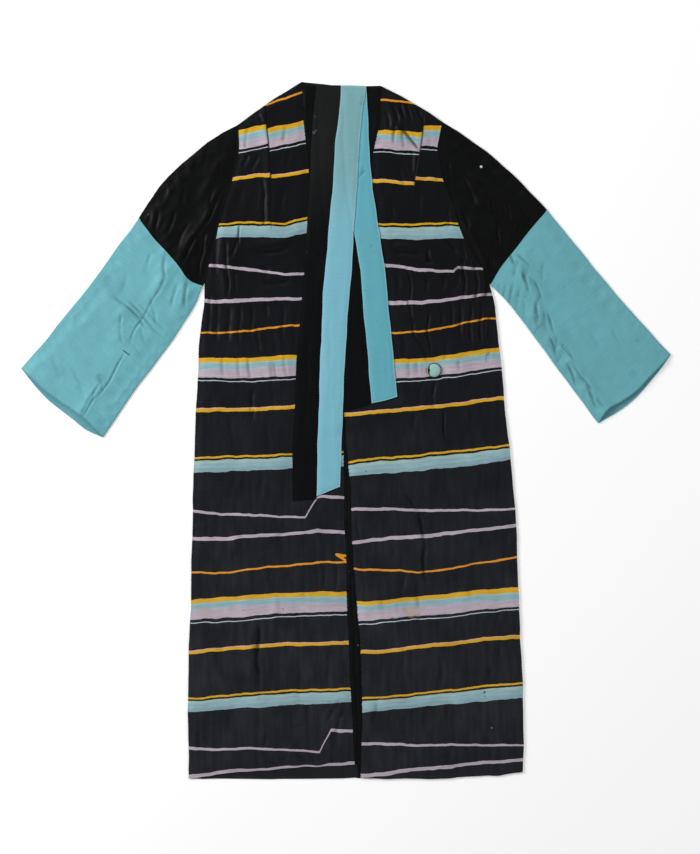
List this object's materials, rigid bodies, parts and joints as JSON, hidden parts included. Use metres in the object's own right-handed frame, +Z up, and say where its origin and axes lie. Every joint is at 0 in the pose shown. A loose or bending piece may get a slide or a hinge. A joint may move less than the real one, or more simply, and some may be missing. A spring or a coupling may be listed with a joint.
{
  "type": "kimono robe laid flat",
  "caption": "Full-length striped silk robe laid flat, front up, with set-in two-colour sleeves, a long folded scarf at the neck and a covered button.",
  "frame": {"origin": "on the surface it lies on, under the middle of the robe's outline", "axes": "+X towards the sleeve at the right when looking down on the front, +Y towards the neck, +Z up out of the front"},
  "size_m": [1.136, 1.221, 0.0081],
  "materials": {
    "striped_silk": "plain-woven black silk with ochre, light blue, lilac and white cross stripes",
    "black_silk": "matt black silk crepe",
    "black_satin": "soft satin sheen, creased",
    "turquoise_silk": "plain-woven silk, creased, soft sheen",
    "turquoise_scarf": "silk crepe, slightly faded at the neck",
    "button_cover": "pale mint silk over a domed mould"
  },
  "bodies": {
    "root": {"back": "striped_silk", "front_left": "striped_silk", "front_right": "striped_silk", "band_left": "black_silk", "band_right": "black_silk", "sleeve_upper_left": "black_satin", "sleeve_upper_right": "black_satin", "sleeve_lower_left": "turquoise_silk", "sleeve_lower_right": "turquoise_silk", "scarf_black": "black_silk", "scarf_turquoise": "turquoise_scarf", "button": "button_cover"}
  },
  "joints": []
}
